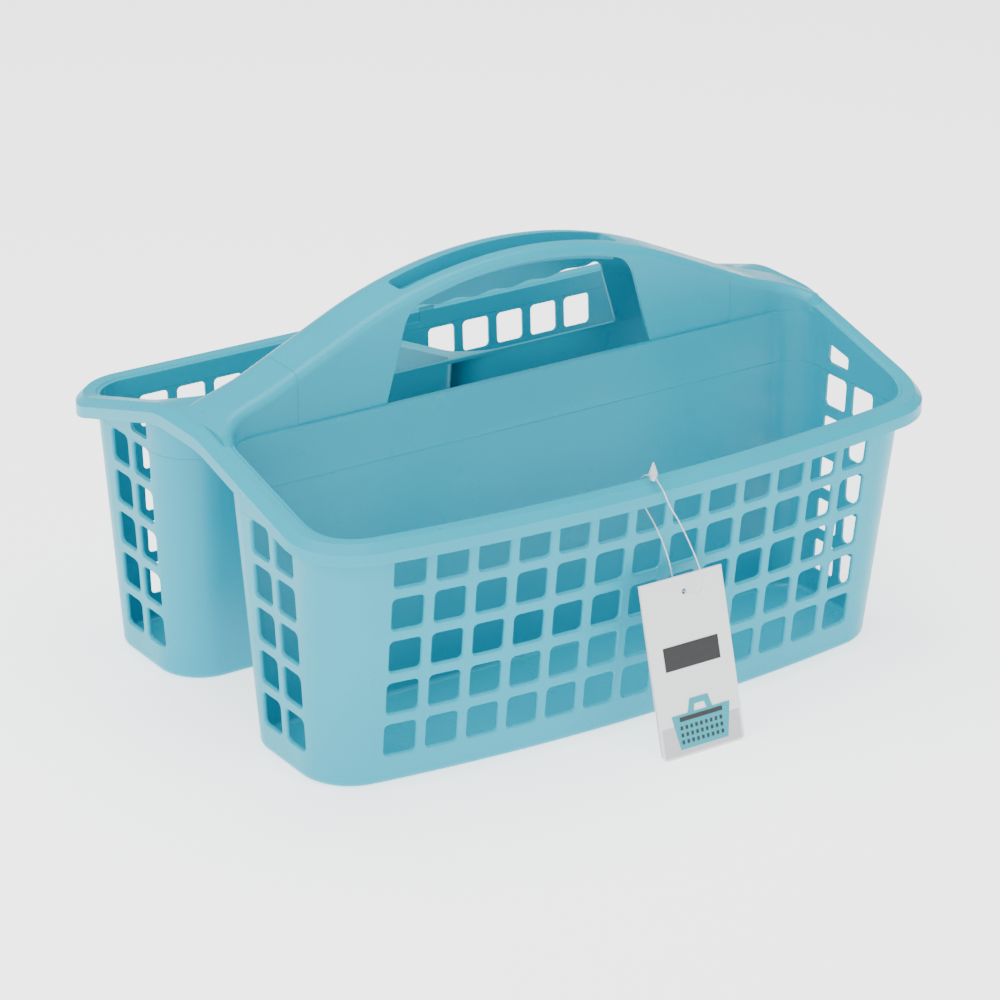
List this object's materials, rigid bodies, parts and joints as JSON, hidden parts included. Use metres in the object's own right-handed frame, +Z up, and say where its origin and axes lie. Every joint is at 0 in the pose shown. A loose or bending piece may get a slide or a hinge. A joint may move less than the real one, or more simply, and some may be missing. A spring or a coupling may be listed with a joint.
{
  "type": "cleaning caddy",
  "caption": "Moulded plastic carry caddy with a long front basket, two rear baskets, an arched centre handle with a hand opening, and a hang tag on a loop.",
  "frame": {"origin": "on the floor under the middle of the moulding's outline, the hang tag and its loop left out", "axes": "+X runs along the handle to the right, +Y points from the long front basket to the two rear baskets, +Z is up"},
  "size_m": [0.4004, 0.3231, 0.235],
  "materials": {
    "polypropylene": "satin turquoise polypropylene",
    "tag_card": "smooth coated white card",
    "clear_nylon": "clear nylon"
  },
  "bodies": {
    "caddy": {"front_basket": "polypropylene", "rear_left_basket": "polypropylene", "rear_right_basket": "polypropylene", "rim_frame": "polypropylene", "carry_handle": "polypropylene", "loop_filament": "clear_nylon", "loop_socket": "clear_nylon", "loop_arrow": "clear_nylon"},
    "tag": {"hang_tag": "tag_card"}
  },
  "joints": [
    {"name": "tag_swing", "type": "hinge", "parent": "caddy", "child": "tag", "pos_m": [0.013, -0.14871, 0.08406], "axis": [-1, 0, 0], "range_deg": [0, 25]}
  ]
}
